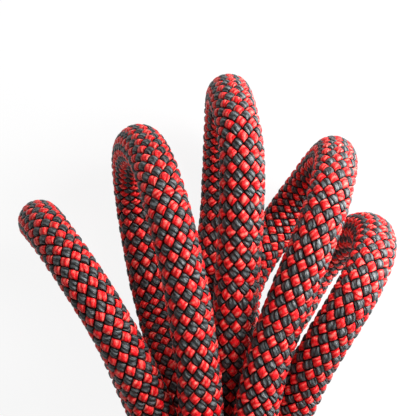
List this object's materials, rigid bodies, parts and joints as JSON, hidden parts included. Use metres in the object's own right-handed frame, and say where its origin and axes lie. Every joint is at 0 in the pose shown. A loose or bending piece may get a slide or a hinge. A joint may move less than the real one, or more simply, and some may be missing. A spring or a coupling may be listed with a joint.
{
  "type": "dynamic climbing rope",
  "caption": "Kernmantle climbing rope put up as a small hank, with fanned bights and its waist bound by its own turns.",
  "frame": {"origin": "on the ground under the middle of the hank's box", "axes": "+Y along the hank, from its tail and the rope's two ends towards the five long bights; +Z up from the ground that the hank lies on; +X across, to the right when seen from above with +Y up"},
  "size_m": [0.1199, 0.1932, 0.0586],
  "materials": {
    "sheath_yarn": "braided nylon yarns, red crossed with charcoal",
    "core_yarn": "undyed twisted nylon",
    "end_sleeve": "plain black shrink sleeve, satin",
    "fused_nylon": "melted and set, smooth and dark"
  },
  "bodies": {
    "root": {"sheath": "sheath_yarn", "core": "core_yarn", "end_sleeve_a": "end_sleeve", "end_sleeve_b": "end_sleeve", "fused_tip_a": "fused_nylon", "fused_tip_b": "fused_nylon"}
  },
  "joints": []
}
